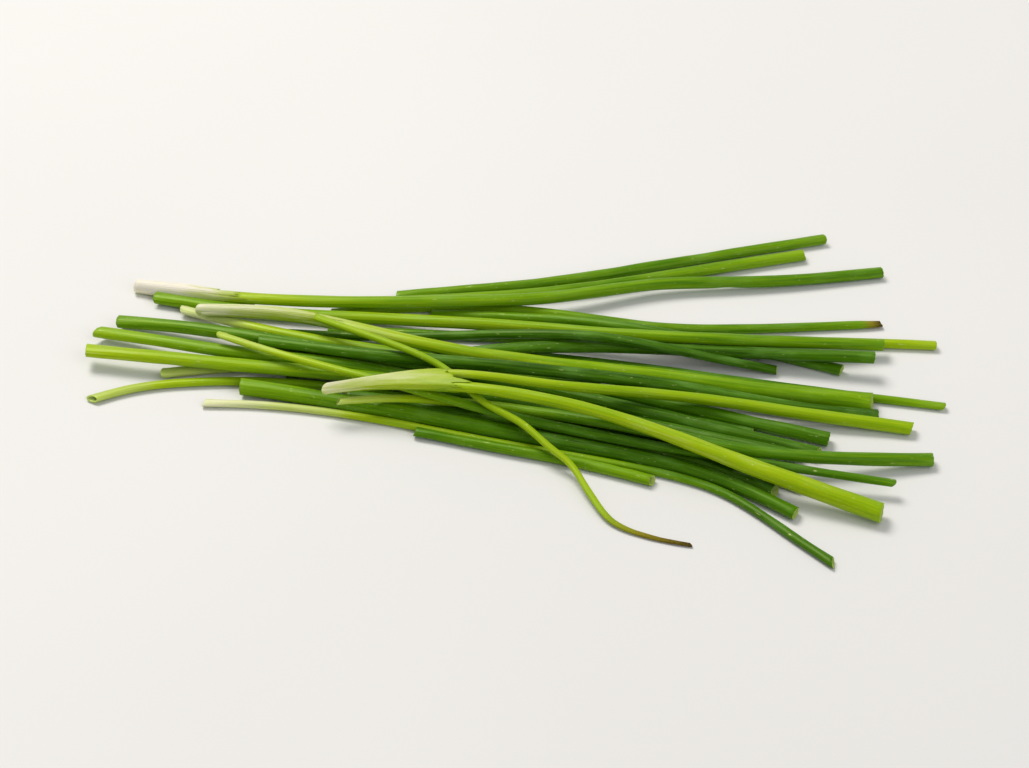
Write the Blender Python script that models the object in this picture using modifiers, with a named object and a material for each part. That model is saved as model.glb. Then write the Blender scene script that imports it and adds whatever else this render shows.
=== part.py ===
"""A loose bunch of cut chives lying on a flat surface: twenty-seven separate hollow leaves.

Metres, +Z up, +X along the bunch, origin at the bottom centre of its box. Every leaf is one
open tube with a thin wall. Each is drawn in plan as a smooth curve from its butt to its tip, then
all are let down on to the surface in laying order until they lie on each other without touching.
"""
from collections import namedtuple

import bpy
import numpy as np

MM = 0.001

# Driving dimensions, in millimetres.
STATIONS = 14            # points along a leaf
FINE_STEPS = 200         # steps used to walk evenly along a leaf's curve
TUBE_RESOLUTION = 2      # bevel resolution that gives an eight-sided tube
WALL_SHARE = 0.30        # wall thickness as a share of the leaf's least radius
CLEARANCE = 0.30         # gap kept between neighbouring leaves
START_HEIGHT = 1.5       # where the first leaf starts to fall from
START_STEP = 0.8         # how much higher each later leaf starts

# How the heap settles: each round lowers the leaves, parts the ones that press, and straightens.
FALL_ROUNDS, FALL_STEP = 140, 0.25       # rounds with weight, and millimetres fallen per round
PRESS_ROUNDS = 260                       # rounds with no weight, which only part the leaves
EASE_ROUNDS = 300                        # last rounds, with the leaves held by nothing else
FALL_STIFFNESS = (1.5, 0.2)              # sideways and upright stiffness while falling
PRESS_STIFFNESS = (0.04, 0.04)           # the same while the leaves are parted
PULL_BACK = 0.99                         # share of a sideways slip that is kept each round

# Base colours (sRGB), one for each shade of leaf.
SHADES = {
    "yellow": "#9DB92A",
    "bright": "#86A328",
    "mid": "#68891A",
    "deep": "#4A6F10",
    "olive": "#73812A",
    "straw": "#958A2E",
}
ROUGHNESS = 0.42

# One row per leaf, in laying order: the first lies on the surface. Marks are plan positions that
# the leaf passes through from its butt to its tip, in mm from the middle of the surface, and the
# three diameters are at the butt, the middle and the tip.
Leaf = namedtuple("Leaf", "name marks diameters shade")
LEAVES = (
    Leaf("leaf_01_short_front", ((-16, -6), (-5.5, -10.5), (8.5, -16), (24.5, -23.5)),
          (1.6, 1.8, 1.9), "olive"),
    Leaf("leaf_02_curved_left", ((-74.5, 4), (-67, 7), (-57.5, 8.5), (-46.5, 8.5), (-32, 6.5),
          (-12.5, 0), (9, -9), (33, -18.5)), (1.4, 1.6, 1.6), "bright"),
    Leaf("leaf_03_front_outlier", ((-53.5, 6), (-41, 5.5), (-26.5, 3), (-4.5, -4.5),
          (16.5, -12.5), (27, -17), (37.5, -23.5), (47, -35), (55, -45.5)),
          (1.3, 1.25, 1.5), "olive"),
    Leaf("leaf_04_long_front", ((-76, 15.5), (-61.5, 12.5), (-45, 9.5), (-19.5, 4), (2, -5),
          (26.5, -16), (49, -29)), (2.3, 2.4, 2.2), "deep"),
    Leaf("leaf_05_blunt_front", ((-47.5, 8.5), (-33.5, 5.5), (-12, -0.5), (9, -8.5), (23, -14),
          (33.5, -19), (50, -32)), (3.0, 2.8, 2.2), "mid"),
    Leaf("leaf_06_far_right", ((-32, 24.5), (-1, 20), (24.5, 17), (57.5, 14.5), (78, 12.5)),
          (1.5, 1.8, 1.6), "yellow"),
    Leaf("leaf_07_blue_middle", ((-62, 10), (-48.5, 9.5), (-30.5, 8.5), (-12, 8.5), (6, 10),
          (24.5, 11), (42.5, 10.5), (67, 8.5)), (1.7, 2.1, 2.1), "deep"),
    Leaf("leaf_08_long_middle", ((-51, 14), (-30.5, 12), (-1.5, 9), (27.5, 5), (52.5, 0),
          (77.5, -5.5)), (1.7, 2.1, 1.3), "mid"),
    Leaf("leaf_09_under_front", ((-39.5, 9.5), (-8.5, 4.5), (16.5, -3), (42, -12.5)),
          (1.5, 1.7, 1.5), "deep"),
    Leaf("leaf_10_under_back", ((-42.5, 21.5), (-12, 16.5), (20.5, 11.5), (49, 10)),
          (1.5, 1.7, 1.5), "deep"),
    Leaf("leaf_11_back_outer", ((-19.5, 30), (-8, 32), (7, 34.5), (29.5, 40), (60.5, 47.5)),
          (1.6, 2.0, 1.8), "mid"),
    Leaf("leaf_12_back_inner", ((-28.5, 29), (-12, 30), (10.5, 32), (33, 37), (56.5, 42.5)),
          (1.7, 2.2, 2.0), "bright"),
    Leaf("leaf_13_thick_middle", ((-74, 21), (-63.5, 17), (-48.5, 11.5), (-30.5, 7.5), (-8.5, 2),
          (23.5, -7.5), (51.5, -17.5)), (2.1, 2.5, 2.3), "mid"),
    Leaf("leaf_14_left_middle", ((-71, 23.5), (-56, 19.5), (-37.5, 13), (-16, 6.5), (16.5, -3.5),
          (37.5, -10.5), (54.5, -16)), (2.3, 2.5, 2.2), "mid"),
    Leaf("leaf_15_thin_foot", ((-59.5, 28), (-48.5, 21.5), (-34, 14.5), (-12, 8), (9.5, 3),
          (34.5, -5), (56.5, -13)), (1.5, 2.2, 2.5), "bright"),
    Leaf("leaf_16_dark_front", ((-29.5, 3.5), (-23, 2), (-9, -2.5), (19.5, -12), (33.5, -17.5),
          (46.5, -26)), (2.0, 2.5, 2.3), "deep"),
    Leaf("leaf_17_cut_right", ((-13.5, 27.5), (10, 22), (32, 15.5), (46.5, 12.5), (60.5, 7.5)),
          (1.6, 2.0, 2.0), "mid"),
    Leaf("leaf_18_dry_tip", ((-32, 28), (-8, 29), (10.5, 26), (28.5, 21.5), (47, 20.5), (69, 21)),
          (1.5, 1.9, 1.4), "mid"),
    Leaf("leaf_19_under_fork", ((-30.5, 0.5), (-16, -0.5), (5.5, -6.5), (23, -13), (40.5, -19),
          (58.5, -20), (74, -18.5)), (1.2, 2.1, 2.3), "mid"),
    Leaf("leaf_20_dark_middle", ((-44.5, 15), (-16, 7), (9.5, 3), (31, 0.5), (52.5, -4),
          (66, -5.5)), (1.8, 2.3, 2.3), "deep"),
    Leaf("leaf_21_thin_crossing", ((-52, 15), (-41, 9), (-26.5, 2.5), (-1.5, -6.5), (30, -17),
          (51, -23), (66.5, -26.5)), (1.1, 1.8, 1.3), "mid"),
    Leaf("leaf_22_back_right", ((-64, 33), (-52.5, 29.5), (-30.5, 25.5), (-1, 20.5), (21, 16),
          (46.5, 13.5), (68.5, 13.5)), (2.2, 2.1, 2.1), "bright"),
    Leaf("leaf_23_white_foot", ((-67.5, 35.5), (-52.5, 31), (-30.5, 27), (-8, 26), (10.5, 27.5),
          (29, 32), (44, 33), (70.5, 36.5)), (2.0, 2.2, 2.0), "mid"),
    Leaf("leaf_24_kinked", ((-34.5, 18.5), (-30.5, 15), (-23, 10), (-16, 5.5), (-11.5, 2.5),
          (-4.5, -6.5), (2, -10.5), (7, -16), (10.5, -19), (13.5, -26), (16.5, -32.5), (19, -35),
          (24.5, -38), (30.5, -40)), (1.2, 1.1, 0.7), "straw"),
    Leaf("leaf_25_thick_top", ((-56, 24.5), (-41.5, 22), (-30.5, 18), (-19.5, 13), (-1.5, 7.5),
          (27.5, 4), (49, 0.5), (65.5, -2)), (1.7, 2.5, 3.4), "yellow"),
    Leaf("leaf_26_fork_back", ((-31, -1.5), (-23, -0.5), (-12.5, 0), (5.5, -2.5), (30.5, -4),
          (52, -7), (71.5, -10)), (1.1, 1.8, 2.3), "yellow"),
    Leaf("leaf_27_fork_front", ((-32, -1), (-23.5, -0.5), (-12.5, -1.5), (5.5, -6), (19.5, -11.5),
          (40.5, -23), (63.5, -35)), (1.7, 2.1, 3.5), "yellow"),
)


def clear_scene():
    """Remove every object of the start-up scene."""
    for item in list(bpy.data.objects):
        bpy.data.objects.remove(item, do_unlink=True)


def marked_path(marks):
    """Evenly spaced plan points along the smooth curve through a leaf's marks.

    The curve is the natural cubic over the distance run from mark to mark. Its bends M at the
    marks solve h0 M0 + 2 (h0 + h1) M1 + h1 M2 = 6 (slope1 - slope0). As many marks as stations
    are taken as they are.
    """
    marks = np.array(marks, float)
    if len(marks) == STATIONS:
        return marks
    gaps = np.linalg.norm(np.diff(marks, axis=0), axis=1)
    run = np.append(0.0, np.cumsum(gaps))
    inner = np.arange(1, len(marks) - 1)
    matrix = np.eye(len(marks))
    matrix[inner, inner - 1], matrix[inner, inner + 1] = gaps[:-1], gaps[1:]
    matrix[inner, inner] = 2.0 * (gaps[:-1] + gaps[1:])
    turn = np.zeros_like(marks)
    turn[inner] = 6.0 * np.diff(np.diff(marks, axis=0) / gaps[:, None], axis=0)
    bends = np.linalg.solve(matrix, turn)

    at = np.linspace(0.0, run[-1], FINE_STEPS)
    left = np.clip(np.searchsorted(run, at, side="right") - 1, 0, len(gaps) - 1)
    gap = gaps[left, None]
    t = (at[:, None] - run[left, None]) / gap
    u = 1.0 - t
    fine = (u * marks[left] + t * marks[left + 1]
            + gap ** 2 / 6.0 * ((u ** 3 - u) * bends[left] + (t ** 3 - t) * bends[left + 1]))
    gone = np.append(0.0, np.cumsum(np.linalg.norm(np.diff(fine, axis=0), axis=1)))
    even = np.linspace(0.0, gone[-1], STATIONS)
    return np.stack([np.interp(even, gone, fine[:, axis]) for axis in (0, 1)], axis=1)


def starting_lines():
    """Every leaf's points and radii before it falls, each leaf above the ones laid before it."""
    points, radii = [], []
    for order, leaf in enumerate(LEAVES):
        plan = marked_path(leaf.marks)
        height = np.full((STATIONS, 1), START_HEIGHT + START_STEP * order)
        points.append(np.hstack((plan, height)))
        radii.append(np.interp(np.linspace(0, 2, STATIONS), (0, 1, 2), leaf.diameters) / 2.0)
    return np.array(points), np.array(radii)


def stiffener(stiffness):
    """Matrix that straightens a row of offsets as a springy leaf would."""
    bend = np.diff(np.eye(STATIONS), 2, axis=0)
    return np.linalg.inv(np.eye(STATIONS) + stiffness * bend.T @ bend)


def close_pairs(points, reach):
    """Pairs of straight leaf pieces, of different leaves, whose middles are within reach."""
    count = len(points)
    middles = ((points[:, :-1] + points[:, 1:]) / 2.0).reshape(-1, 3)
    owner = np.repeat(np.arange(count), STATIONS - 1)
    squared = ((middles[:, None] - middles[None]) ** 2).sum(axis=2)
    return np.nonzero((squared < reach ** 2) & (owner[:, None] < owner[None]))


def pressing(points, radii, first, second):
    """For each pair of pieces: where they are nearest, which way apart, and how far too close."""
    start, end = points[:, :-1].reshape(-1, 3), points[:, 1:].reshape(-1, 3)
    r_start, r_end = radii[:, :-1].reshape(-1), radii[:, 1:].reshape(-1)
    u, v = end[first] - start[first], end[second] - start[second]
    w = start[first] - start[second]
    uu, vv, uv = (u * u).sum(1), (v * v).sum(1), (u * v).sum(1)
    uw, vw = (u * w).sum(1), (v * w).sum(1)
    slant = uu * vv - uv * uv
    s = np.where(slant > 1e-3 * uu * vv, (uv * vw - uw * vv) / np.maximum(slant, 1e-12), 0.5)
    t = np.clip((uv * np.clip(s, 0, 1) + vw) / vv, 0, 1)
    s = np.clip((uv * t - uw) / uu, 0, 1)
    apart = w + s[:, None] * u - t[:, None] * v
    distance = np.linalg.norm(apart, axis=1)
    wanted = (r_start[first] * (1 - s) + r_end[first] * s
              + r_start[second] * (1 - t) + r_end[second] * t + CLEARANCE)
    return s, t, apart / np.maximum(distance, 1e-9)[:, None], wanted - distance


def part_leaves(points, radii, pairs):
    """Move the pieces that press together apart, half the distance each."""
    s, t, way, depth = pressing(points, radii, *pairs)
    hit = depth > 0
    push = 0.5 * depth[hit, None] * way[hit]
    s, t = s[hit, None], t[hit, None]
    node = (np.arange(len(points))[:, None] * STATIONS + np.arange(STATIONS - 1)).reshape(-1)
    i, j = node[pairs[0][hit]], node[pairs[1][hit]]
    flat = points.reshape(-1, 3)
    move, weight = np.zeros_like(flat), np.zeros((len(flat), 1))
    for ends, share, sign in ((i, 1 - s, 1), (i + 1, s, 1), (j, 1 - t, -1), (j + 1, t, -1)):
        np.add.at(move, ends, sign * share * push)
        np.add.at(weight, ends, share * share)
    return (flat + 1.2 * move / np.maximum(weight, 0.5)).reshape(points.shape), depth.max()


def settle(points, radii):
    """Let the leaves down on to the surface and on to each other. Returns their final points."""
    plan = points[:, :, :2].copy()
    reach = np.linalg.norm(np.diff(points, axis=1), axis=2).max() + 2 * radii.max() + 1.0
    falling = [stiffener(value) for value in FALL_STIFFNESS]
    parting = [stiffener(value) for value in PRESS_STIFFNESS]
    for turn in range(FALL_ROUNDS + PRESS_ROUNDS + EASE_ROUNDS):
        falls, eases = turn < FALL_ROUNDS, turn >= FALL_ROUNDS + PRESS_ROUNDS
        if turn % 8 == 0:
            pairs = close_pairs(points, reach)
        if falls:
            points[:, :, 2] -= FALL_STEP * (1.0 if turn < 0.6 * FALL_ROUNDS else 0.35)
        points, deepest = part_leaves(points, radii, pairs)
        if not eases:
            sideways, upright = falling if falls else parting
            slip = np.einsum("ab,kbc->kac", sideways, points[:, :, :2] - plan)
            points[:, :, :2] = plan + slip * (PULL_BACK if falls else 1.0)
            points[:, :, 2] = points[:, :, 2] @ upright.T
        points[:, :, 2] = np.maximum(points[:, :, 2], radii)
        if eases and deepest < 0.01:
            break
    return points


def linear_colour(code):
    """Linear RGBA from an sRGB hex code."""
    channels = [int(code[i:i + 2], 16) / 255.0 for i in (1, 3, 5)]
    return [c / 12.92 if c <= 0.04045 else ((c + 0.055) / 1.055) ** 2.4 for c in channels] + [1.0]


def leaf_material(leaf):
    """Satin leaf green in the leaf's own shade."""
    material = bpy.data.materials.new(leaf.name)
    material.use_nodes = True
    shader = material.node_tree.nodes["Principled BSDF"]
    shader.inputs["Base Color"].default_value = linear_colour(SHADES[leaf.shade])
    shader.inputs["Roughness"].default_value = ROUGHNESS
    return material


def add_leaf(leaf, points, radii, collection):
    """One leaf: an open tube along its points, as wide as its radii, with a thin wall inside."""
    curve = bpy.data.curves.new(leaf.name, "CURVE")
    curve.dimensions = "3D"
    curve.bevel_depth = MM
    curve.bevel_resolution = TUBE_RESOLUTION
    curve.use_fill_caps = False
    curve.materials.append(leaf_material(leaf))
    spline = curve.splines.new("POLY")
    spline.points.add(len(points) - 1)
    for point, place, radius in zip(spline.points, points, radii):
        point.co = (*(place * MM), 1.0)
        point.radius = radius
    tube = bpy.data.objects.new(leaf.name, curve)
    collection.objects.link(tube)
    wall = tube.modifiers.new("wall", "SOLIDIFY")
    wall.thickness = WALL_SHARE * radii.min() * MM
    wall.offset = -1.0
    wall.use_rim = True
    return tube


def centre_on_origin(points, radii):
    """Shift all points so that the bunch's box stands on the origin."""
    low = (points - radii[:, :, None]).reshape(-1, 3).min(axis=0)
    high = (points + radii[:, :, None]).reshape(-1, 3).max(axis=0)
    return points - np.array(((low[0] + high[0]) / 2.0, (low[1] + high[1]) / 2.0, low[2]))


def build():
    """Lay the bunch and build its leaves in one collection."""
    clear_scene()
    collection = bpy.data.collections.new("chive_bunch")
    bpy.context.scene.collection.children.link(collection)
    points, radii = starting_lines()
    points = centre_on_origin(settle(points, radii), radii)
    for leaf, line, radius in zip(LEAVES, points, radii):
        add_leaf(leaf, line, radius, collection)


build()
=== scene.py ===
"""Chive bunch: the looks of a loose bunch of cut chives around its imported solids.

Laid out as a Blender add-on and run as a script. Lengths are in millimetres until a mesh is
made, and metres in the meshes. Every leaf is one closed surface: its skin, the cut at each end
and the bore inside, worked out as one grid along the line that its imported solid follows. A
sheath is a thinner closed surface of the same kind round the feet of one or two leaves.
"""
import math
from collections import namedtuple

import bpy
import numpy as np
from bpy.props import (FloatProperty, FloatVectorProperty, IntProperty, PointerProperty)
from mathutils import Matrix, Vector


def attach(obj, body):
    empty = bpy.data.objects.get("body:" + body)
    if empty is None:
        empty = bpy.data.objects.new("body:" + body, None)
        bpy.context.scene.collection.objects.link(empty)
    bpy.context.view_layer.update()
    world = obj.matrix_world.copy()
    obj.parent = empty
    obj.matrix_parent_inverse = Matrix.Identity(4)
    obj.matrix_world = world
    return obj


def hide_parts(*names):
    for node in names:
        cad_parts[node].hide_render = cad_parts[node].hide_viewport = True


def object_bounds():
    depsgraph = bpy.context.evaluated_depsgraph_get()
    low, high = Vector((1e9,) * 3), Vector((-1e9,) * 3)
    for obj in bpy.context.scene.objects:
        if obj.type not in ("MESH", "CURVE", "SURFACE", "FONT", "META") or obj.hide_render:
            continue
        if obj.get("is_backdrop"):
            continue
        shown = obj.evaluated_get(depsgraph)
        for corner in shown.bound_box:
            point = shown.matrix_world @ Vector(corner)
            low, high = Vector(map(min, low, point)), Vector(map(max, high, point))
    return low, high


bl_info = {
    "name": "Chive bunch",
    "version": (1, 0, 0),
    "blender": (4, 5, 0),
    "location": "3D View > Sidebar > Chives",
    "description": "Builds the looks of a loose bunch of cut chives",
    "category": "Add Mesh",
}

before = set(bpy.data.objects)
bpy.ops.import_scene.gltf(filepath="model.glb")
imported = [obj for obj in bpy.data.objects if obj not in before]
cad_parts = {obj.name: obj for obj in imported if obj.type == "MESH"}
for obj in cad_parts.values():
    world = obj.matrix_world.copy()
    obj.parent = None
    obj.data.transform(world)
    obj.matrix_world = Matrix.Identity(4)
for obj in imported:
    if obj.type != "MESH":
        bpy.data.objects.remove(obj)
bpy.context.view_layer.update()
MM = 0.001
FULL_TURN = 2.0 * math.pi
RING_CORNERS = 16        # corners of one ring of a packed leaf: eight outside, eight in the bore

# Lengths in mm.
FLOOR_GAP = 0.01         # between the floor and the lowest skin
KINK_BEND = 1.2          # how far to either side of a kink its rounded bend reaches
SQUEEZE_REACH = 3.5      # how far from a cut the knife leaves a leaf flatter
DRAWN_REACH = 14.0       # how far from their butts the feet of a fork are drawn together
LEAST_REACH = 0.02       # from a sheath's line to its inner wall, where the foot closes

# The wall at a cut.
THICKEST_WALL = 0.42     # as a share of the leaf's least radius
CUT_BULGE = 0.22         # how far the wall stands out round, as a share of its thickness
CUT_POINTS = 7           # points over the wall, from its outer to its inner edge
RAGGED = 0.05            # unevenness of the knife cut, as a share of the radius
BORE_SPACING = 5         # rings of skin to each ring of bore, which hardly shows

# Slow waves of thickness: their height as a share of the radius, and for each how many there
# are along a leaf and how often it turns round the leaf.
SWELL = 0.014
SWELL_WAVES = ((2.3, 0), (5.1, 1), (9.7, 2))

# Soft dents in a leaf: how many, and the least and most of their length in mm, their width in
# radians round the leaf and their depth as a share of the radius.
DENTS = 6
DENT_LENGTHS = (1.2, 6.0)
DENT_WIDTHS = (0.35, 0.8)
DENT_DEPTHS = (0.04, 0.14)

# The torn edge of a sheath: the depth of each wave as a share of its run, and how many times
# each goes round. Its rings crowd by a power where its foot rounds over.
TEAR_DEPTH = 0.035
TEAR_WAVES = (3, 7, 13, 21)
FOOT_CROWDING = 1.5


def srgb(code):
    """Linear RGB from an sRGB hex code."""
    channels = (int(code[i:i + 2], 16) / 255.0 for i in (1, 3, 5))
    return tuple(c / 12.92 if c <= 0.04045 else ((c + 0.055) / 1.055) ** 2.4 for c in channels)


def colour(name, code, description):
    """A colour property whose default is an sRGB hex code."""
    return FloatVectorProperty(name=name, description=description, default=srgb(code),
                               subtype="COLOR", size=3, min=0.0, max=1.0)


def length(name, value, description, low=0.0):
    """A property that holds a length in millimetres."""
    return FloatProperty(name=name, description=description, default=value, min=low,
                         subtype="DISTANCE_CAMERA")


# ---------------------------------------------------------------- what each leaf looks like

# Tint runs from 0, the deep green of an old shaded leaf, to 1, the white of a blanched foot:
# 0.2 is a mid green, 0.4 a bright green, 0.6 a yellow green and 0.8 the pale green of a foot.
# tints: from the butt to the tip at even steps. flat: how much flatter than round the leaf is at
# its butt, middle and tip. cuts: slant of the knife cut at the butt and the tip, as rise over
# run. dry: length of the dried tip in mm.
Look = namedtuple("Look", "slot tints flat cuts dry")
OLIVE, DEEP, MID, BRIGHT, YELLOW, STRAW = (
    "olive_leaf", "deep_green_leaf", "mid_green_leaf", "bright_green_leaf",
    "yellow_green_leaf", "straw_leaf")
LOOKS = {
    "leaf_01_short_front": Look(OLIVE, (0.2, 0.24, 0.3, 0.36), (0.1, 0.06, 0.1), (0.2, 0.3), 0),
    "leaf_02_curved_left": Look(
        BRIGHT, (0.72, 0.5, 0.32, 0.16, 0.15, 0.15), (0.25, 0.1, 0.1), (0.9, 0.1), 0),
    "leaf_03_front_outlier": Look(
        OLIVE, (0.92, 0.74, 0.52, 0.44, 0.36, 0.26, 0.14, 0.14), (0.2, 0.1, 0.15), (0.4, 1.0), 0),
    "leaf_04_long_front": Look(
        DEEP, (0.6, 0.48, 0.34, 0.14, 0.08, 0.12), (0.2, 0.08, 0.12), (0.2, 0.3), 0),
    "leaf_05_blunt_front": Look(
        MID, (0.34, 0.26, 0.2, 0.1, 0.12, 0.2), (0.12, 0.08, 0.08), (0.15, 0.2), 0),
    "leaf_06_far_right": Look(
        YELLOW, (0.3, 0.2, 0.3, 0.44, 0.6), (0.1, 0.05, 0.1), (0.3, 0.2), 0),
    "leaf_07_blue_middle": Look(
        DEEP, (0.74, 0.52, 0.2, 0.1, 0.08, 0.16), (0.2, 0.08, 0.08), (0.5, 0.15), 0),
    "leaf_08_long_middle": Look(
        MID, (0.3, 0.16, 0.12, 0.16, 0.4), (0.1, 0.08, 0.1), (0.4, 0.6), 0),
    "leaf_09_under_front": Look(DEEP, (0.16, 0.08, 0.06), (0.1, 0.1, 0.1), (0.2, 0.2), 0),
    "leaf_10_under_back": Look(DEEP, (0.16, 0.1, 0.06), (0.1, 0.1, 0.1), (0.3, 0.2), 0),
    "leaf_11_back_outer": Look(
        MID, (0.34, 0.28, 0.26, 0.28, 0.32), (0.1, 0.05, 0.1), (0.3, 0.4), 0),
    "leaf_12_back_inner": Look(
        BRIGHT, (0.4, 0.36, 0.3, 0.34, 0.42), (0.1, 0.06, 0.1), (0.3, 0.15), 0),
    "leaf_13_thick_middle": Look(
        MID, (0.46, 0.34, 0.24, 0.14, 0.12, 0.1), (0.2, 0.06, 0.06), (0.7, 0.2), 0),
    "leaf_14_left_middle": Look(
        MID, (0.3, 0.22, 0.14, 0.08, 0.12), (0.15, 0.08, 0.1), (0.2, 0.3), 0),
    "leaf_15_thin_foot": Look(
        BRIGHT, (0.86, 0.52, 0.32, 0.2, 0.14, 0.16), (0.2, 0.08, 0.08), (0.6, 0.2), 0),
    "leaf_16_dark_front": Look(
        DEEP, (0.2, 0.12, 0.06, 0.05, 0.1), (0.12, 0.08, 0.1), (0.5, 0.3), 0),
    "leaf_17_cut_right": Look(
        MID, (0.3, 0.26, 0.18, 0.14, 0.16), (0.1, 0.06, 0.02), (0.2, 0.08), 0),
    "leaf_18_dry_tip": Look(
        MID, (0.4, 0.36, 0.34, 0.28, 0.26, 0.34), (0.1, 0.05, 0.15), (0.3, 0.4), 4.5),
    "leaf_19_under_fork": Look(
        MID, (0.7, 0.46, 0.24, 0.2, 0.22, 0.26), (0.15, 0.08, 0.08), (0.5, 0.12), 0),
    "leaf_20_dark_middle": Look(
        DEEP, (0.2, 0.12, 0.08, 0.12, 0.06), (0.12, 0.06, 0.06), (0.3, 0.1), 0),
    "leaf_21_thin_crossing": Look(
        MID, (0.66, 0.54, 0.34, 0.14, 0.1, 0.14, 0.24), (0.15, 0.08, 0.12), (0.9, 0.8), 0),
    "leaf_22_back_right": Look(
        BRIGHT, (0.34, 0.36, 0.5, 0.46, 0.38, 0.3, 0.3), (0.15, 0.05, 0.08), (0.3, 0.15), 0),
    "leaf_23_white_foot": Look(
        MID, (1.0, 0.6, 0.44, 0.38, 0.34, 0.28, 0.24, 0.22), (0.2, 0.06, 0.06), (0.4, 0.1), 0),
    "leaf_24_kinked": Look(
        STRAW, (0.5, 0.48, 0.46, 0.5, 0.54, 0.5, 0.5), (0.1, 0.08, 0.35), (0.5, 1.0), 22.0),
    "leaf_25_thick_top": Look(
        YELLOW, (0.9, 0.78, 0.62, 0.5, 0.44, 0.36, 0.32, 0.34), (0.25, 0.08, 0.06), (0.5, 0.1), 0),
    "leaf_26_fork_back": Look(
        YELLOW, (0.8, 0.62, 0.52, 0.5, 0.5, 0.5), (0.2, 0.06, 0.06), (0.3, 0.2), 0),
    "leaf_27_fork_front": Look(
        YELLOW, (0.84, 0.6, 0.5, 0.54, 0.58, 0.56, 0.48), (0.2, 0.06, 0.05), (0.3, 0.15), 0),
}

# A thin membranous sheath left at the foot of some leaves. leaves: what it wraps. run: how far
# it reaches from their butts, in mm. swell: how much wider than the leaf it is at its foot, in
# its middle and at its edge, in mm. tints: as for a leaf, from foot to edge. edge: how far the
# slanted, torn edge falls back, as a share of the run. drawn: how far the leaves' feet are drawn
# in towards each other, as a share.
Sheath = namedtuple("Sheath", "leaves run swell tints edge drawn")
SHEATHS = {
    "sheath_white_foot": Sheath(
        ("leaf_23_white_foot",), 22.0, (0.16, 0.36, 0.06), (1.0, 0.94, 0.78, 0.56), 0.35, 0.0),
    "sheath_thick_top": Sheath(
        ("leaf_25_thick_top",), 26.0, (0.08, 0.16, 0.06), (0.78, 0.72, 0.62, 0.48), 0.30, 0.0),
    "sheath_fork": Sheath(
        ("leaf_26_fork_back", "leaf_27_fork_front"), 25.0, (0.04, 0.05, 0.04),
        (0.76, 0.6, 0.54, 0.46, 0.42), 0.25, 0.40),
}
KINKED = ("leaf_24_kinked",)


def leaf_number(node):
    """The number in a leaf's name, counted up from the surface to the top of the heap."""
    return int(node.split("_")[1])


SECOND_LAYER, TOP_LAYER = 13, 20         # the number of the first leaf in each
LOWER = [node for node in LOOKS if leaf_number(node) < SECOND_LAYER]
MIDDLE = [node for node in LOOKS if SECOND_LAYER <= leaf_number(node) < TOP_LAYER]
UPPER = [node for node in LOOKS if leaf_number(node) >= TOP_LAYER]


# ---------------------------------------------------------------- settings

class LeafSettings(bpy.types.PropertyGroup):
    """Sizes that all leaves share."""
    around: IntProperty(name="Facets around", default=48, min=16, max=128,
                        description="Points round a leaf")
    step: length("Ring spacing", 0.7, "Distance between two rings of points along a leaf", 0.2)
    fullness: length("Fullness", 0.07, "How much thicker a leaf is than its packed solid")
    wall: length("Wall", 0.30, "Thickness of a leaf's wall at a cut")
    veins: IntProperty(name="Veins", default=13, min=3, max=40,
                       description="Veins that run the length of a leaf, counted round it")
    membrane: length("Membrane", 0.10, "Thickness of a sheath")
    foot_rim: length("Foot rim", 0.9, "How far a sheath reaches past the butts it closes over")
    vein_height: FloatProperty(name="Vein height", default=0.012, min=0.0, max=0.1,
                               description="Height of a vein as a share of the leaf's radius")


class LeafColours(bpy.types.PropertyGroup):
    """Colours of fresh, blanched and dried chive leaf."""
    deep: colour("Deep green", "#244C00", "An old leaf inside the heap")
    mid: colour("Mid green", "#4A7A00", "The common green of the leaves")
    bright: colour("Bright green", "#7CA402", "A lit young leaf")
    yellow: colour("Yellow green", "#A2BC0C", "The youngest leaves")
    pale: colour("Pale green", "#C4D080", "A foot where the green begins")
    white: colour("White foot", "#F2ECD6", "The blanched end of a foot")
    bloom: colour("Bloom", "#6E9C48", "The wax that dulls an old leaf")
    flesh: colour("Cut flesh", "#B0C468", "The wet wall at a cut and in the bore")
    straw: colour("Straw", "#857818", "Leaf that has started to dry")
    brown: colour("Dry brown", "#46300C", "A dried tip")


class StageSettings(bpy.types.PropertyGroup):
    """Floor, lights and camera."""
    floor: colour("Floor", "#E4E4E6", "Plain pale floor")
    azimuth: FloatProperty(name="Azimuth", default=math.radians(-1.7), subtype="ANGLE",
                           description="Turn of the camera round the bunch, from its near side")
    elevation: FloatProperty(name="Elevation", default=math.radians(38.2), subtype="ANGLE",
                             description="How far the camera looks down")
    distance: FloatProperty(name="Distance", default=0.84, subtype="DISTANCE",
                            description="From the bunch's middle to the camera")
    fill: FloatProperty(name="Fill", default=0.84, min=0.1, max=1.0, subtype="FACTOR",
                        description="Share of the view's width that the bunch takes")
    key: FloatProperty(name="Key light", default=9.5, min=0.0, subtype="POWER",
                       description="Power of the main soft light")
    ambient: FloatProperty(name="Room light", default=0.42, min=0.0,
                           description="Strength of the light from all round")


# ---------------------------------------------------------------- lines

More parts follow.
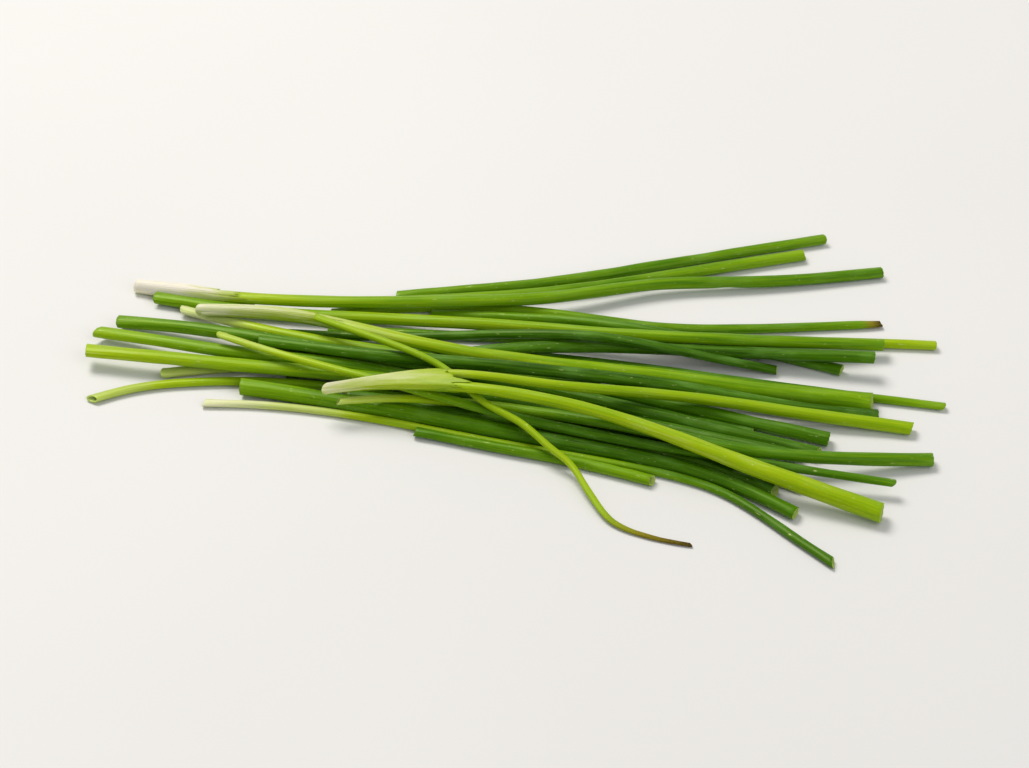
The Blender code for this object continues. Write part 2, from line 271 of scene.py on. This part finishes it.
def packed_line(node):
    """Distances, middle points and radii (mm) of a leaf's packed tube, from butt to tip.

    The tube's corners, merged and sorted along X, part into rings at their widest gaps. A
    ring's two furthest corners face each other: half the way between them is a point of the
    line, and half their distance is the radius. Straight stretches may lack a few corners.
    """
    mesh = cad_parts[node].data
    corners = np.empty(len(mesh.vertices) * 3)
    mesh.vertices.foreach_get("co", corners)
    corners = np.unique(np.round(corners.reshape(-1, 3) / MM, 3), axis=0)
    rings = round(len(corners) / RING_CORNERS)
    breaks = np.sort(np.argsort(np.diff(corners[:, 0]))[1 - rings:]) + 1
    middles, radii = [], []
    for ring in np.split(corners, breaks):
        apart = np.linalg.norm(ring[:, None] - ring, axis=2)
        first, last = np.unravel_index(apart.argmax(), apart.shape)
        middles.append((ring[first] + ring[last]) / 2.0)
        radii.append(apart.max() / 2.0)
    middles, radii = np.array(middles), np.array(radii)
    knots = np.append(0.0, np.cumsum(np.linalg.norm(np.diff(middles, axis=0), axis=1)))
    return knots, middles, radii


def smooth_curve(knots, values, at):
    """Value and slope, at distances along a line, of the natural cubic through its points.

    With h the gaps between knots and M the bends at them, the inner bends solve
    h0 M0 + 2 (h0 + h1) M1 + h1 M2 = 6 (slope1 - slope0), and those at the ends are none. With
    t the share of a gap gone and u = 1 - t, the cubic there is
    u v0 + t v1 + h^2 ((u^3 - u) M0 + (t^3 - t) M1) / 6.
    """
    gaps = np.diff(knots)
    inner = np.arange(1, len(knots) - 1)
    matrix = np.eye(len(knots))
    matrix[inner, inner - 1], matrix[inner, inner + 1] = gaps[:-1], gaps[1:]
    matrix[inner, inner] = 2.0 * (gaps[:-1] + gaps[1:])
    turn = np.zeros_like(values)
    turn[inner] = 6.0 * np.diff(np.diff(values, axis=0) / gaps[:, None], axis=0)
    bends = np.linalg.solve(matrix, turn)

    left = np.clip(np.searchsorted(knots, at, side="right") - 1, 0, len(gaps) - 1)
    gap = gaps[left][..., None]
    t = (at - knots[left])[..., None] / gap
    u = 1.0 - t
    v0, v1, m0, m1 = values[left], values[left + 1], bends[left], bends[left + 1]
    value = u * v0 + t * v1 + gap ** 2 / 6.0 * ((u ** 3 - u) * m0 + (t ** 3 - t) * m1)
    slope = (v1 - v0) / gap + gap / 6.0 * ((3 * t ** 2 - 1) * m1 - (3 * u ** 2 - 1) * m0)
    return value, slope


def unit(vectors):
    """Vectors at length one."""
    return vectors / np.linalg.norm(vectors, axis=-1, keepdims=True)


def stops(values, share):
    """Evenly spaced stops read at a share from 0 to 1, eased between them."""
    spot = np.clip(share, 0.0, 1.0) * (len(values) - 1)
    low = np.minimum(spot.astype(int), len(values) - 2)
    ease = spot - low
    ease = ease * ease * (3.0 - 2.0 * ease)
    values = np.asarray(values, float)
    return values[low] * (1.0 - ease) + values[low + 1] * ease


# ---------------------------------------------------------------- meshes

def wrapped_mesh(name, places, attributes):
    """A closed mesh of quads over a grid of places that wraps both ways, with attributes.

    Corner (i, j) joins (i, j+1), (i+1, j+1) and (i+1, j), the last row and column to the first.
    """
    rows, columns = places.shape[:2]
    i, j = np.meshgrid(np.arange(rows), np.arange(columns), indexing="ij")
    down, right = (i + 1) % rows, (j + 1) % columns
    quads = np.stack([i * columns + j, i * columns + right,
                      down * columns + right, down * columns + j], axis=-1).reshape(-1, 4)
    mesh = bpy.data.meshes.new(name)
    mesh.vertices.add(rows * columns)
    mesh.vertices.foreach_set("co", (places * MM).ravel())
    mesh.loops.add(quads.size)
    mesh.loops.foreach_set("vertex_index", quads.ravel())
    mesh.polygons.add(len(quads))
    mesh.polygons.foreach_set("loop_start", np.arange(0, quads.size, 4))
    mesh.update(calc_edges=True)
    mesh.polygons.foreach_set("use_smooth", np.ones(len(quads), bool))
    for key, values in attributes.items():
        kind, field = ("FLOAT_VECTOR", "vector") if values.ndim == 3 else ("FLOAT", "value")
        mesh.attributes.new(key, kind, "POINT").data.foreach_set(field, values.ravel())
    mesh.validate()
    piece = bpy.data.objects.new(name, mesh)
    bpy.context.scene.collection.objects.link(piece)
    return piece


def wall_section(run, wall, step):
    """Stations along a leaf and depths into its wall, once round the wall's long section.

    Out along the skin, round the tip's cut on half a flat ellipse, back along the bore and
    round the butt's cut. Stations are in mm from the butt, depths run from 0 to the wall.
    """
    skin = np.linspace(0.0, run, int(run / step))
    bore = skin[::BORE_SPACING][::-1]
    turn = np.linspace(0.0, math.pi, CUT_POINTS)[1:-1]
    out, depth = CUT_BULGE * wall * np.sin(turn), 0.5 * wall * (1.0 - np.cos(turn))
    stations = np.concatenate((skin, run + out, bore, -out))
    depths = np.concatenate((np.zeros(len(skin)), depth, np.full(len(bore), wall), depth[::-1]))
    return stations, depths


def across_line(place, slope):
    """Unit directions level across a line and square to both."""
    along = unit(slope)
    side = unit(np.cross((0.0, 0.0, 1.0), along))
    return side, np.cross(along, side)


def tight_corners(knots, middles):
    """A line whose inner points are parted in two, a bend's reach to either side.

    The natural cubic through them is all but straight between tight, rounded kinks.
    """
    inner = knots[1:-1]
    spots = np.sort(np.concatenate((knots[[0, -1]], inner - KINK_BEND, inner + KINK_BEND)))
    return spots, np.stack([np.interp(spots, knots, column) for column in middles.T], axis=1)


def drawn_in(place, leaves, s, share):
    """Places at distances s moved by a share towards the mean line of some leaves.

    The share fades with the distance from the butts as exp(-(s / reach)^2).
    """
    axis = np.mean([smooth_curve(*packed_line(leaf)[:2], s)[0] for leaf in leaves], axis=0)
    return axis + (place - axis) * (1.0 - share * np.exp(-(s / DRAWN_REACH) ** 2))[..., None]


def rest_on_floor(place, depth):
    """Lift places that are below the floor, and more the deeper in a wall, so it keeps thick."""
    place[..., 2] = np.maximum(place[..., 2], FLOOR_GAP + 0.9 * depth)


def straightened(radius, a, s):
    """Coordinates as if the leaf lay straight along Z, which its patterns follow."""
    return np.stack((radius * np.cos(a), radius * np.sin(a), s), axis=-1)


def leaf_surface(node, look, settings):
    """Places and attributes of a leaf's closed surface.

    A point at station s and angle a lies at C(s) + r (w cos a, h sin a) across the line C,
    where r is the leaf's radius less the depth into the wall, w = 1 + flat and h = 1 - flat.
    The radius swells a little along the leaf, rises at each vein as cos(n a), sinks in a few
    soft dents and shrinks into wrinkles over a dried tip. Near an end the station moves by
    slant * cos(a - turn) for the knife cut, and the leaf is squeezed flatter. A kinked leaf
    keeps the corners of its line tight, and feet that share a sheath are drawn together.
    """
    random = np.random.RandomState(leaf_number(node))
    knots, middles, radii = packed_line(node)
    run = knots[-1]
    wall = min(settings.wall, THICKEST_WALL * radii.min())
    stations, depths = wall_section(run, wall, settings.step)
    angle = np.linspace(0.0, FULL_TURN, settings.around, endpoint=False)
    s, a = np.meshgrid(stations, angle, indexing="ij")
    depth = np.broadcast_to(depths[:, None], s.shape)
    share = s / run

    radius = np.interp(s, knots, radii) + settings.fullness
    swell = sum(SWELL * np.sin(FULL_TURN * (share * waves + random.rand()) + a * turns)
                for waves, turns in SWELL_WAVES)
    drift = random.uniform(-0.5, 0.5) + random.uniform(-1.0, 1.0) * share
    vein = np.cos(settings.veins * (a + drift))
    radius = radius * (1.0 + swell + settings.vein_height * vein)
    for _ in range(DENTS):
        spot, side = random.uniform(0.05, 0.95) * run, random.uniform(0, FULL_TURN)
        long, wide = random.uniform(*DENT_LENGTHS), random.uniform(*DENT_WIDTHS)
        aside = np.angle(np.exp(1j * (a - side)))
        dent = np.exp(-((s - spot) / long) ** 2 - (aside / wide) ** 2)
        radius = radius * (1.0 - random.uniform(*DENT_DEPTHS) * dent)

    shrink = np.zeros_like(s)
    if look.dry:
        shrink = np.clip((s - run + look.dry) / look.dry, 0.0, 1.0)
        wrinkle = 0.5 + 0.5 * np.sin(7.0 * a + 1.3 * s)
        radius = radius * (1.0 - shrink ** 1.5 * (0.22 + 0.16 * wrinkle))

    flat = stops(look.flat, share)
    for end, slant in ((0.0, look.cuts[0]), (run, look.cuts[1])):
        turn = random.uniform(0, FULL_TURN)
        near = np.exp(-np.abs(s - end) / (2.0 * radii.mean()))
        flat = flat + random.uniform(0.04, 0.2) * np.exp(-((s - end) / SQUEEZE_REACH) ** 2)
        ragged = RAGGED * np.sin(5 * a + turn) * np.sin(3 * a)
        s = s + (slant * np.cos(a - turn) + ragged) * radius * near
    line = tight_corners(knots, middles) if node in KINKED else (knots, middles)
    place, slope = smooth_curve(*line, s)
    side, up = across_line(place, slope)
    reach = radius - depth
    place = (place + (reach * (1.0 + flat) * np.cos(a))[..., None] * side
             + (reach * (1.0 - flat) * np.sin(a))[..., None] * up)
    for sheath in SHEATHS.values():
        if sheath.drawn and node in sheath.leaves:
            place = drawn_in(place, sheath.leaves, s, sheath.drawn)
    rest_on_floor(place, depth)

    flesh = np.clip(depth / wall * 1.6, 0.0, 1.0)
    return place, {"straight": straightened(radius, a, s), "tint": stops(look.tints, share),
                   "dry": shrink, "flesh": flesh}


def sheath_surface(sheath, settings):
    """Places and attributes of the thin sheath round the feet of one or two leaves.

    Its line is the mean C of the leaves' lines and D is half the way from one to the other.
    A point at angle a lies at C + D clip(2 cos a', -1, 1) + r (cos a, sin a), where a' is a
    seen from D, so its section is the outline of the leaves pulled tight. With t the share of
    the foot's rim gone, it closes over the butts as sqrt(1 - (1 - t)^2). The far edge falls
    back with the angle and is torn. The feet of a fork, and the sheath with them, are drawn
    together. The tint is made whiter on top than below, a painted highlight.
    """
    random = np.random.RandomState(len(sheath.leaves) + int(sheath.run))
    wall, rim = settings.membrane, settings.foot_rim
    stations, depths = wall_section(sheath.run, wall, 0.5 * settings.step)
    stations = sheath.run * np.clip(stations / sheath.run, 0.0, 1.0) ** FOOT_CROWDING
    angle = np.linspace(0.0, FULL_TURN, 2 * settings.around, endpoint=False)
    s, a = np.meshgrid(stations, angle, indexing="ij")
    share = np.clip(s / sheath.run, 0.0, 1.0)
    turn = random.uniform(0, FULL_TURN)
    torn = sum(TEAR_DEPTH * np.sin(waves * a + random.uniform(0, 6)) for waves in TEAR_WAVES)
    s = s * (1.0 - (sheath.edge * (0.5 - 0.5 * np.cos(a - turn)) + torn) * share ** 2)

    lines, sizes = [], []
    for node in sheath.leaves:
        knots, middles, radii = packed_line(node)
        lines.append(smooth_curve(knots, middles, s - rim))
        sizes.append(np.interp(s, knots, radii) + settings.fullness)
    place, slope = np.mean(lines, axis=0)
    side, up = across_line(place, slope)
    radius = np.mean(sizes, axis=0)
    half = (lines[-1][0] - lines[0][0]) / 2.0
    lean = np.arctan2((half * up).sum(-1), (half * side).sum(-1))
    toward = np.clip(2.0 * np.cos(a - lean), -1.0, 1.0)
    radius = radius + (sizes[-1] - sizes[0]) / 2.0 * toward

    rib = 1.0 + 0.012 * np.cos(2 * settings.veins * (a + 0.3 * share))
    depth = depths[:, None]
    closing = np.sqrt(1.0 - (1.0 - np.clip(s / rim, 0.0, 1.0)) ** 2)
    reach = ((radius + stops(sheath.swell, share)) * rib + wall) * closing - depth
    reach = np.maximum(reach, LEAST_REACH)
    place = (place + half * (toward * closing)[..., None]
             + (reach * np.cos(a))[..., None] * side + (reach * np.sin(a))[..., None] * up)
    place = drawn_in(place, sheath.leaves, s - rim, sheath.drawn)
    rest_on_floor(place, depth)
    # Painted highlight: the tint is raised on the upper side and lowered below, so the top of the
    # sheath shows whiter as if lit from above.
    painted_highlight_on_top = 0.16 * np.sin(a)
    return place, {"straight": straightened(radius, a, s),
                   "tint": stops(sheath.tints, share) + painted_highlight_on_top}


# ---------------------------------------------------------------- materials

def add_node(tree, kind, inputs=None, **settings):
    """Add a node, set its properties, and give its inputs values or links."""
    node = tree.nodes.new(kind)
    for key, value in settings.items():
        setattr(node, key, value)
    for key, value in (inputs or {}).items():
        if isinstance(value, bpy.types.NodeSocket):
            tree.links.new(value, node.inputs[key])
        else:
            node.inputs[key].default_value = value
    return node


def empty_material(name):
    """A material with no nodes yet, and its node tree."""
    material = bpy.data.materials.new(name)
    material.use_nodes = True
    material.node_tree.nodes.clear()
    return material, material.node_tree


# Patterns that run along a leaf: how many grains fit in a millimetre across and along it, how
# many finer layers they have, and how rough those are.
GRAINS = {
    "streak": (2.2, 0.07, 3.0, 0.5),      # broad light and dark streaks, about 0.5 mm wide
    "fibre": (7.0, 0.30, 2.0, 0.5),       # hair-thin veins, drawn at twice their real width
    "patch": (0.45, 0.10, 4.0, 0.55),     # slow changes of shade, and where wax is left
    "grain": (5.0, 4.0, 2.0, 0.5),        # small uneven spots of the cuticle
    "scar": (2.6, 0.9, 1.0, 0.4),         # rare pale nicks, about half a millimetre long
}


def grain_patterns(tree, names):
    """Noise of each named pattern, laid along the leaf by its straightened coordinates."""
    straight = add_node(tree, "ShaderNodeAttribute", attribute_name="straight").outputs["Vector"]
    patterns = {}
    for name in names:
        across, along, detail, rough = GRAINS[name]
        spread = add_node(tree, "ShaderNodeMapping",
                          {"Vector": straight, "Scale": (across, across, along)})
        patterns[name] = add_node(tree, "ShaderNodeTexNoise", {
            "Vector": spread.outputs["Vector"], "Scale": 1.0, "Detail": detail,
            "Roughness": rough}).outputs["Fac"]
    return patterns


def grained_tint(tree, grains, weights):
    """A surface's tint, made lighter and darker by patterns with these weights."""
    shade = add_node(tree, "ShaderNodeAttribute", attribute_name="tint").outputs["Fac"]
    for name, weight in weights.items():
        centred = add_node(tree, "ShaderNodeMath", {0: grains[name], 1: 0.5},
                           operation="SUBTRACT").outputs["Value"]
        shade = add_node(tree, "ShaderNodeMath", {0: centred, 1: weight, 2: shade},
                         operation="MULTIPLY_ADD").outputs["Value"]
    return shade


def shade_steps(tree, factor, base, steps):
    """Colour that passes from the base through each (from, to, colour or socket) step.

    Between from and to of the factor, the colour so far is mixed into the step's colour.
    """
    for low, high, tone in steps:
        share = add_node(tree, "ShaderNodeMapRange", {
            "Value": factor, "From Min": low, "From Max": high}).outputs["Result"]
        if not isinstance(tone, bpy.types.NodeSocket):
            tone = (*tone, 1.0)
        base = add_node(tree, "ShaderNodeMix", {0: share, 6: base, 7: tone},
                        data_type="RGBA").outputs[2]
    return base


def leaf_skin(slot, wax, gloss):
    """Skin of a fresh chive leaf: a smooth cuticle over thin green flesh, with long veins.

    The eye sees a satin green that lightens in hair-thin streaks along the leaf, a dull wax
    bloom in patches of the older leaves, small pale nicks, and a paler wet wall where the knife
    went. A dried tip turns straw, then brown, and dull.
    """
    colours = bpy.context.scene.chive_colours
    material, tree = empty_material("fresh_chive_skin_" + slot)
    dry, flesh = (add_node(tree, "ShaderNodeAttribute", attribute_name=name).outputs["Fac"]
                  for name in ("dry", "flesh"))
    grains = grain_patterns(tree, GRAINS)
    shade = grained_tint(tree, grains, {"streak": 0.34, "fibre": 0.14, "patch": 0.18})
    base = shade_steps(tree, shade, (*colours.deep, 1.0), (
        (0.0, 0.2, colours.mid), (0.2, 0.4, colours.bright), (0.4, 0.6, colours.yellow),
        (0.6, 0.8, colours.pale), (0.8, 1.0, colours.white)))
    # Each look lies on the one before: wax, nicks, cut flesh, then drying.
    base = shade_steps(tree, grains["patch"], base, ((0.5, 0.5 + 0.4 / wax, colours.bloom),))
    base = shade_steps(tree, grains["scar"], base, ((0.70, 0.90, colours.pale),))
    base = shade_steps(tree, flesh, base, ((0.0, 1.0, colours.flesh),))
    dried = add_node(tree, "ShaderNodeMath", {0: grains["grain"], 1: 0.5, 2: dry},
                     operation="MULTIPLY_ADD").outputs["Value"]
    base = shade_steps(tree, dried, base, (
        (0.42, 0.85, colours.straw), (0.85, 1.25, colours.brown)))

    rough = add_node(tree, "ShaderNodeMapRange", {
        "Value": grains["patch"], "From Min": 0.3, "From Max": 0.7,
        "To Min": gloss, "To Max": gloss + 0.14}).outputs["Result"]
    rough = add_node(tree, "ShaderNodeMath", {0: dry, 1: 0.35, 2: rough},
                     operation="MULTIPLY_ADD").outputs["Value"]
    height = add_node(tree, "ShaderNodeMath", {0: grains["grain"], 1: 0.35, 2: grains["fibre"]},
                      operation="MULTIPLY_ADD").outputs["Value"]
    bump = add_node(tree, "ShaderNodeBump",
                    {"Height": height, "Strength": 0.5, "Distance": 0.04 * MM})
    shader = add_node(tree, "ShaderNodeBsdfPrincipled", {
        "Base Color": base, "Roughness": rough, "Normal": bump.outputs["Normal"],
        "IOR": 1.38, "Specular Tint": (*srgb("#DAFF95"), 1.0), "Subsurface Weight": 0.12,
        "Subsurface Radius": (0.5, 0.8, 0.05), "Subsurface Scale": 0.6 * MM,
        "Coat Weight": 0.02, "Coat Roughness": 0.2})
    add_node(tree, "ShaderNodeOutputMaterial", {"Surface": shader.outputs["BSDF"]})
    return material


def sheath_membrane():
    """The papery sheath at a foot: a thin, dry, milky membrane with parallel veins.

    The eye sees cream at the foot that turns a pale green towards the torn edge, crossed by
    fine lengthwise lines, with a faint silky shine. It shows whiter on top than below where the
    sheath's tint carries a painted highlight.
    """
    colours = bpy.context.scene.chive_colours
    material, tree = empty_material("papery_sheath_membrane")
    grains = grain_patterns(tree, ("streak", "fibre", "grain"))
    shade = grained_tint(tree, grains, {"streak": 0.5, "fibre": 0.25})
    base = shade_steps(tree, shade, (*colours.bright, 1.0), (
        (0.4, 0.6, colours.yellow), (0.6, 0.8, colours.pale), (0.8, 1.0, colours.white)))
    bump = add_node(tree, "ShaderNodeBump",
                    {"Height": grains["fibre"], "Strength": 0.6, "Distance": 0.05 * MM})
    rough = add_node(tree, "ShaderNodeMapRange", {
        "Value": grains["grain"], "To Min": 0.38, "To Max": 0.55}).outputs["Result"]
    shader = add_node(tree, "ShaderNodeBsdfPrincipled", {
        "Base Color": base, "Roughness": rough, "Normal": bump.outputs["Normal"],
        "IOR": 1.40, "Subsurface Weight": 0.25, "Subsurface Radius": (0.9, 1.0, 0.5),
        "Subsurface Scale": 0.6 * MM})
    add_node(tree, "ShaderNodeOutputMaterial", {"Surface": shader.outputs["BSDF"]})
    return material


# How much wax the skin of each slot carries, and its least roughness.
SKINS = {DEEP: (0.9, 0.36), MID: (0.7, 0.33), OLIVE: (0.6, 0.38), BRIGHT: (0.45, 0.30),
         YELLOW: (0.35, 0.28), STRAW: (0.3, 0.42)}


def add_leaves(nodes):
    """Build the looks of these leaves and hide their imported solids."""
    settings = bpy.context.scene.chive_leaves
    slots = sorted({LOOKS[node].slot for node in nodes})
    skins = {slot: leaf_skin(slot, *SKINS[slot]) for slot in slots}
    for node in nodes:
        look = LOOKS[node]
        piece = wrapped_mesh("chive_" + node, *leaf_surface(node, look, settings))
        piece.data.materials.append(skins[look.slot])
        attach(piece, "root")
        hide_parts(node)


# ---------------------------------------------------------------- stage

def add_floor(stage):
    """A plain pale floor, far wider than the view."""
    half = 3.0
    corners = [(-half, -half, 0.0), (half, -half, 0.0), (half, half, 0.0), (-half, half, 0.0)]
    mesh = bpy.data.meshes.new("floor")
    mesh.from_pydata(corners, [], [(0, 1, 2, 3)])
    floor = bpy.data.objects.new("floor", mesh)
    bpy.context.scene.collection.objects.link(floor)
    material = bpy.data.materials.new("painted_floor")
    material.use_nodes = True
    tree = material.node_tree
    shader = tree.nodes["Principled BSDF"]
    place = add_node(tree, "ShaderNodeTexCoord").outputs["Object"]
    cloud = add_node(tree, "ShaderNodeTexNoise", {"Vector": place, "Scale": 6.0}).outputs["Fac"]
    worn = tuple(channel * 0.96 for channel in stage.floor)
    tone = shade_steps(tree, cloud, (*stage.floor, 1.0), ((0.3, 0.7, worn),))
    tree.links.new(tone, shader.inputs["Base Color"])
    shader.inputs["Roughness"].default_value = 0.6
    mesh.materials.append(material)
    floor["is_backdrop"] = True


def add_camera(scene, stage, middle, width):
    """A camera that looks down on the bunch's middle, with the bunch across its view."""
    level = math.cos(stage.elevation)
    away = Vector((math.sin(stage.azimuth) * level, -math.cos(stage.azimuth) * level,
                   math.sin(stage.elevation)))
    data = bpy.data.cameras.new("camera")
    data.sensor_width = 36.0
    data.lens = data.sensor_width * stage.fill * stage.distance / width
    data.clip_start = 0.01
    camera = bpy.data.objects.new("camera", data)
    camera.location = middle + away * stage.distance
    camera.rotation_euler = (-away).to_track_quat("-Z", "Y").to_euler()
    scene.collection.objects.link(camera)
    scene.camera = camera


# For each light: its place from the bunch's middle and its width, in metres, its share of the
# key light's power, and its colour.
LIGHTS = {
    "key": ((-0.35, 0.55, 0.9), 0.5, 1.0, "#FFFAF0"),
    "front": ((0.6, -0.7, 0.7), 0.9, 0.35, "#FFFFFF"),
}


def add_lights(scene, stage, middle):
    """A broad soft light high at the far left, a weak one at the near right, and room light."""
    for name, (place, width, share, tone) in LIGHTS.items():
        data = bpy.data.lights.new(name, "AREA")
        data.energy, data.size, data.color = stage.key * share, width, srgb(tone)
        light = bpy.data.objects.new(name, data)
        light.location = middle + Vector(place)
        light.rotation_euler = (-Vector(place)).to_track_quat("-Z", "Y").to_euler()
        scene.collection.objects.link(light)
    scene.world = bpy.data.worlds.new("room")
    scene.world.use_nodes = True
    back = scene.world.node_tree.nodes["Background"]
    back.inputs["Color"].default_value = (*srgb("#FFFEF9"), 1.0)
    back.inputs["Strength"].default_value = stage.ambient


# ---------------------------------------------------------------- operators

class CHIVES_OT_lower_leaves(bpy.types.Operator):
    """Build the leaves that lie on the surface and fan out at the far side"""
    bl_idname = "chives.lower_leaves"
    bl_label = "Lower leaves"

    def execute(self, context):
        add_leaves(LOWER)
        return {"FINISHED"}


class CHIVES_OT_middle_leaves(bpy.types.Operator):
    """Build the leaves of the second layer"""
    bl_idname = "chives.middle_leaves"
    bl_label = "Middle leaves"

    def execute(self, context):
        add_leaves(MIDDLE)
        return {"FINISHED"}


class CHIVES_OT_upper_leaves(bpy.types.Operator):
    """Build the leaves on top, with the white foot, the kinked leaf and the fork"""
    bl_idname = "chives.upper_leaves"
    bl_label = "Upper leaves"

    def execute(self, context):
        add_leaves(UPPER)
        return {"FINISHED"}


class CHIVES_OT_sheaths(bpy.types.Operator):
    """Build the papery sheaths at the pale feet"""
    bl_idname = "chives.sheaths"
    bl_label = "Sheaths"

    def execute(self, context):
        membrane = sheath_membrane()
        for name, sheath in SHEATHS.items():
            places, attributes = sheath_surface(sheath, context.scene.chive_leaves)
            piece = wrapped_mesh("chive_" + name, places, attributes)
            piece.data.materials.append(membrane)
            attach(piece, "root")
        return {"FINISHED"}


class CHIVES_OT_stage(bpy.types.Operator):
    """Build the floor, the lights and the camera"""
    bl_idname = "chives.stage"
    bl_label = "Floor, lights and camera"

    def execute(self, context):
        scene, stage = context.scene, context.scene.chive_stage
        low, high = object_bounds()
        middle = (Vector(low) + Vector(high)) / 2.0
        add_floor(stage)
        add_camera(scene, stage, middle, high[0] - low[0])
        add_lights(scene, stage, middle)
        scene.view_settings.view_transform = "Standard"
        return {"FINISHED"}


# ---------------------------------------------------------------- panel and registration

class CHIVES_PT_panel(bpy.types.Panel):
    """Lists the operators and settings of the bunch"""
    bl_label = "Chive bunch"
    bl_idname = "CHIVES_PT_panel"
    bl_space_type = "VIEW_3D"
    bl_region_type = "UI"
    bl_category = "Chives"

    def draw(self, context):
        for operator in OPERATORS:
            self.layout.operator(operator.bl_idname)
        for name in GROUPS:
            group, box = getattr(context.scene, name), self.layout.box()
            for key in group.__annotations__:
                box.prop(group, key)


GROUPS = {"chive_leaves": LeafSettings, "chive_colours": LeafColours, "chive_stage": StageSettings}
OPERATORS = (CHIVES_OT_lower_leaves, CHIVES_OT_middle_leaves, CHIVES_OT_upper_leaves,
             CHIVES_OT_sheaths, CHIVES_OT_stage)


def register():
    for cls in (*GROUPS.values(), *OPERATORS, CHIVES_PT_panel):
        bpy.utils.register_class(cls)
    for name, group in GROUPS.items():
        setattr(bpy.types.Scene, name, PointerProperty(type=group))


def unregister():
    for name in GROUPS:
        delattr(bpy.types.Scene, name)
    for cls in reversed((*GROUPS.values(), *OPERATORS, CHIVES_PT_panel)):
        bpy.utils.unregister_class(cls)


def main():
    """Build everything."""
    register()
    bpy.ops.chives.lower_leaves()
    bpy.ops.chives.middle_leaves()
    bpy.ops.chives.upper_leaves()
    bpy.ops.chives.sheaths()
    bpy.ops.chives.stage()


if __name__ == "__main__":
    main()
